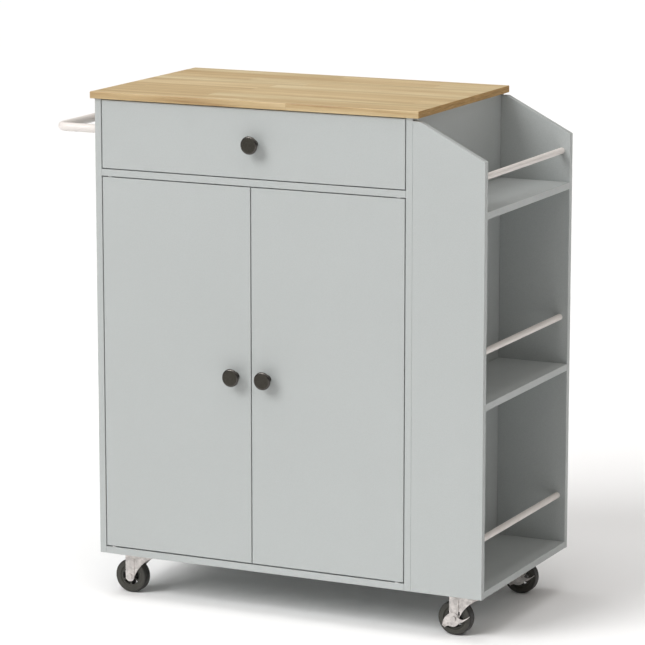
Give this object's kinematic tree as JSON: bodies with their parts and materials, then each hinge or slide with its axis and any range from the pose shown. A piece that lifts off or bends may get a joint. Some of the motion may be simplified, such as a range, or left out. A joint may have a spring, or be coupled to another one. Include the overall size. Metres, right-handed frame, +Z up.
{
  "type": "rolling kitchen island",
  "caption": "Rolling kitchen island: wood-topped cabinet with a drawer and double doors, an open side rack with rails, a towel rail and swivel casters.",
  "frame": {"origin": "on the floor, in the middle of the whole island's box", "axes": "+X towards the side rack, +Y from the doors to the back, +Z up"},
  "size_m": [0.8174, 0.4096, 0.8926],
  "materials": {
    "grey_board": "satin light grey foil on fibreboard",
    "oak_board": "satin lacquered light oak staves",
    "back_board": "matt light grey hardboard",
    "dark_knob": "dark burnished nickel",
    "white_rail": "satin warm white powder coat",
    "zinc": "zinc plated stamped steel",
    "black_wheel": "satin black moulded plastic",
    "bright_steel": "zinc plated fasteners and runners",
    "white_plastic": "white moulded nylon"
  },
  "bodies": {
    "cabinet": {"back_panel": "back_board", "base_panel": "grey_board", "cabinet_screws": "bright_steel", "cam_fittings": "bright_steel", "caster_plates": "zinc", "divider_panel": "grey_board", "inner_shelf": "grey_board", "left_cabinet_runner": "bright_steel", "left_side_panel": "grey_board", "magnetic_catch": "white_plastic", "pivot_bushes": "white_plastic", "rack_back_panel": "grey_board", "rack_bottom_shelf": "grey_board", "rack_front_panel": "grey_board", "rack_middle_shelf": "grey_board", "rack_rails": "white_rail", "rack_top_shelf": "grey_board", "right_cabinet_runner": "bright_steel", "right_side_panel": "grey_board", "shelf_pins": "bright_steel", "side_panel_screws": "bright_steel", "swivel_balls": "bright_steel", "towel_rail": "white_rail", "worktop": "oak_board"},
    "drawer": {"drawer_front": "grey_board", "drawer_left_side": "grey_board", "drawer_right_side": "grey_board", "drawer_back": "grey_board", "drawer_bottom": "back_board", "drawer_knob": "dark_knob", "drawer_knob_screw": "bright_steel", "left_drawer_runner": "bright_steel", "right_drawer_runner": "bright_steel", "drawer_fasteners": "bright_steel"},
    "left_cage": {"left_ball_cage": "bright_steel"},
    "right_cage": {"right_ball_cage": "bright_steel"},
    "left_door": {"left_door": "grey_board", "left_door_pivots": "bright_steel", "left_door_knob": "dark_knob", "left_knob_screw": "bright_steel", "left_strike_plate": "bright_steel"},
    "right_door": {"right_door": "grey_board", "right_door_pivots": "bright_steel", "right_door_knob": "dark_knob", "right_knob_screw": "bright_steel", "right_strike_plate": "bright_steel"},
    "front_left_swivel": {"front_left_fork": "zinc", "front_left_axle": "zinc"},
    "front_left_wheel": {"front_left_wheel": "black_wheel"},
    "front_right_swivel": {"front_right_fork": "zinc", "front_right_axle": "zinc"},
    "front_right_wheel": {"front_right_wheel": "black_wheel"},
    "rear_left_swivel": {"rear_left_fork": "zinc", "rear_left_axle": "zinc"},
    "rear_left_wheel": {"rear_left_wheel": "black_wheel"},
    "rear_right_swivel": {"rear_right_fork": "zinc", "rear_right_axle": "zinc"},
    "rear_right_wheel": {"rear_right_wheel": "black_wheel"},
    "front_right_brake": {"front_right_brake_lever": "zinc"},
    "rear_right_brake": {"rear_right_brake_lever": "zinc"}
  },
  "joints": [
    {"name": "drawer_slide", "type": "slide", "parent": "cabinet", "child": "drawer", "axis": [0, -1, 0], "range_m": [0, 0.22687]},
    {"name": "left_cage_slide", "type": "slide", "parent": "cabinet", "child": "left_cage", "axis": [0, -1, 0], "range_m": [0, 0.11345]},
    {"name": "right_cage_slide", "type": "slide", "parent": "cabinet", "child": "right_cage", "axis": [0, -1, 0], "range_m": [0, 0.11345]},
    {"name": "left_door_hinge", "type": "hinge", "parent": "cabinet", "child": "left_door", "pos_m": [-0.29075, -0.17675, 0.41933], "axis": [0, 0, -1], "range_deg": [0, 110]},
    {"name": "right_door_hinge", "type": "hinge", "parent": "cabinet", "child": "right_door", "pos_m": [0.25275, -0.17675, 0.41933], "axis": [0, 0, 1], "range_deg": [0, 110]},
    {"name": "front_left_swivel", "type": "hinge", "parent": "cabinet", "child": "front_left_swivel", "pos_m": [-0.25725, -0.13375, 0.073], "axis": [0, 0, 1], "continuous": true},
    {"name": "front_left_wheel_spin", "type": "hinge", "parent": "front_left_swivel", "child": "front_left_wheel", "pos_m": [-0.27925, -0.13375, 0.03], "axis": [0, 1, 0], "continuous": true},
    {"name": "front_right_swivel", "type": "hinge", "parent": "cabinet", "child": "front_right_swivel", "pos_m": [0.36475, -0.13375, 0.073], "axis": [0, 0, 1], "continuous": true},
    {"name": "front_right_wheel_spin", "type": "hinge", "parent": "front_right_swivel", "child": "front_right_wheel", "pos_m": [0.34275, -0.13375, 0.03], "axis": [0, 1, 0], "continuous": true},
    {"name": "front_right_brake", "type": "hinge", "parent": "front_right_swivel", "child": "front_right_brake", "pos_m": [0.34275, -0.13375, 0.03], "axis": [0, -1, 0], "range_deg": [0, 25]},
    {"name": "rear_left_swivel", "type": "hinge", "parent": "cabinet", "child": "rear_left_swivel", "pos_m": [-0.25725, 0.15575, 0.073], "axis": [0, 0, 1], "continuous": true},
    {"name": "rear_left_wheel_spin", "type": "hinge", "parent": "rear_left_swivel", "child": "rear_left_wheel", "pos_m": [-0.27925, 0.15575, 0.03], "axis": [0, 1, 0], "continuous": true},
    {"name": "rear_right_swivel", "type": "hinge", "parent": "cabinet", "child": "rear_right_swivel", "pos_m": [0.36475, 0.15575, 0.073], "axis": [0, 0, 1], "continuous": true},
    {"name": "rear_right_wheel_spin", "type": "hinge", "parent": "rear_right_swivel", "child": "rear_right_wheel", "pos_m": [0.34275, 0.15575, 0.03], "axis": [0, 1, 0], "continuous": true},
    {"name": "rear_right_brake", "type": "hinge", "parent": "rear_right_swivel", "child": "rear_right_brake", "pos_m": [0.34275, 0.15575, 0.03], "axis": [0, -1, 0], "range_deg": [0, 25]}
  ],
  "couplings": [
    {"joint": "left_cage_slide", "follows": "drawer_slide", "ratio": 0.5},
    {"joint": "right_cage_slide", "follows": "drawer_slide", "ratio": 0.5}
  ]
}
